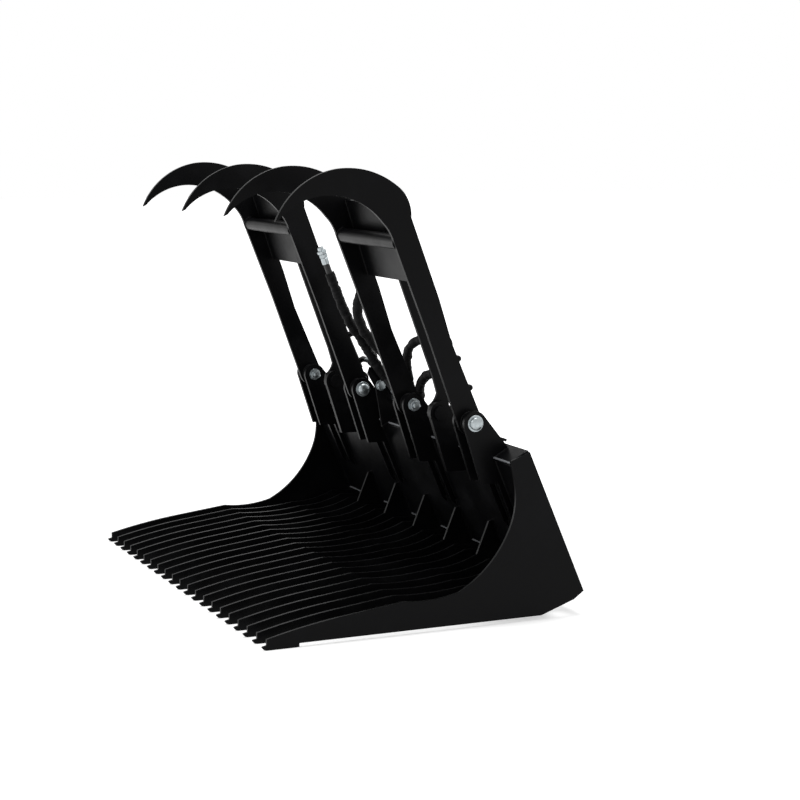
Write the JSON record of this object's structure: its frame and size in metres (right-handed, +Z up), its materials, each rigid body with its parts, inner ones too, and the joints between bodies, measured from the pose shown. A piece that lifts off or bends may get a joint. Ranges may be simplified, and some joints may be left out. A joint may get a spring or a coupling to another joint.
{
  "type": "skid-steer skeleton grapple bucket",
  "caption": "Skeleton bucket of upright steel tines between side plates, with two hydraulic two-claw grapples hinged above its back and a quick-attach frame behind.",
  "frame": {"origin": "centre of the bounding box in X and Y, on the floor the wear feet stand on", "axes": "+X across the bucket to its right as seen from the tines, -Y towards the tine tips, +Z up"},
  "size_m": [1.7236, 1.1516, 1.4364],
  "materials": {
    "black_paint": "gloss powder coat",
    "zinc": "zinc plated",
    "chrome": "hard chrome",
    "rubber": "hydraulic hose cover"
  },
  "bodies": {
    "bucket": {"attach_hook": "black_paint", "attach_ledge": "black_paint", "attach_plate_left": "black_paint", "attach_plate_right": "black_paint", "back_plate": "black_paint", "centre_ears": "black_paint", "centre_pins": "black_paint", "cylinder_base_pins": "zinc", "cylinder_hoses": "rubber", "cylinder_lugs": "black_paint", "feed_hose_left": "rubber", "feed_hose_right": "rubber", "hinge_bolts": "zinc", "hinge_ears_left_inner": "black_paint", "hinge_ears_left_outer": "black_paint", "hinge_ears_right_inner": "black_paint", "hinge_ears_right_outer": "black_paint", "hose_bracket": "black_paint", "hose_couplers": "zinc", "hose_tees": "zinc", "lower_cross_bar": "black_paint", "side_plate_left": "black_paint", "side_plate_right": "black_paint", "tine_01": "black_paint", "tine_02": "black_paint", "tine_03": "black_paint", "tine_04": "black_paint", "tine_05": "black_paint", "tine_06": "black_paint", "tine_07": "black_paint", "tine_08": "black_paint", "tine_09": "black_paint", "tine_10": "black_paint", "tine_11": "black_paint", "tine_12": "black_paint", "tine_13": "black_paint", "tine_14": "black_paint", "tine_15": "black_paint", "tine_16": "black_paint", "tine_17": "black_paint", "tine_18": "black_paint", "tine_19": "black_paint", "top_plate": "black_paint", "upper_cross_bar": "black_paint"},
    "grapple_left": {"arm_plate_left": "black_paint", "arm_tube_left": "black_paint", "claw_left_inner": "black_paint", "claw_left_outer": "black_paint", "lever_left": "black_paint", "rod_pin_left": "zinc"},
    "grapple_right": {"arm_plate_right": "black_paint", "arm_tube_right": "black_paint", "claw_right_inner": "black_paint", "claw_right_outer": "black_paint", "lever_right": "black_paint", "rod_pin_right": "zinc"},
    "barrel_left": {"cylinder_barrel_left": "black_paint"},
    "barrel_right": {"cylinder_barrel_right": "black_paint"},
    "rod_left": {"cylinder_rod_left": "chrome"},
    "rod_right": {"cylinder_rod_right": "chrome"}
  },
  "joints": [
    {"name": "grapple_left_hinge", "type": "hinge", "parent": "bucket", "child": "grapple_left", "pos_m": [-0.4595, 0.1922, 0.628], "axis": [1, 0, 0], "range_deg": [0, 80]},
    {"name": "cylinder_left_swing", "type": "hinge", "parent": "bucket", "child": "barrel_left", "pos_m": [-0.5055, 0.3082, 0.625], "axis": [1, 0, 0], "range_deg": [0, 58]},
    {"name": "cylinder_left_stroke", "type": "slide", "parent": "barrel_left", "child": "rod_left", "axis": [0, -0.3993, 0.9168], "range_m": [0, 0.104]},
    {"name": "grapple_right_hinge", "type": "hinge", "parent": "bucket", "child": "grapple_right", "pos_m": [0.4595, 0.1922, 0.628], "axis": [1, 0, 0], "range_deg": [0, 80]},
    {"name": "cylinder_right_swing", "type": "hinge", "parent": "bucket", "child": "barrel_right", "pos_m": [0.4135, 0.3082, 0.625], "axis": [1, 0, 0], "range_deg": [0, 58]},
    {"name": "cylinder_right_stroke", "type": "slide", "parent": "barrel_right", "child": "rod_right", "axis": [0, -0.3993, 0.9168], "range_m": [0, 0.104]}
  ],
  "couplings": [
    {"joint": "cylinder_left_swing", "follows": "grapple_left_hinge", "ratio": 0.71365},
    {"joint": "cylinder_left_stroke", "follows": "grapple_left_hinge", "m_per_rad": 0.073119},
    {"joint": "cylinder_right_swing", "follows": "grapple_right_hinge", "ratio": 0.71365},
    {"joint": "cylinder_right_stroke", "follows": "grapple_right_hinge", "m_per_rad": 0.073119}
  ]
}
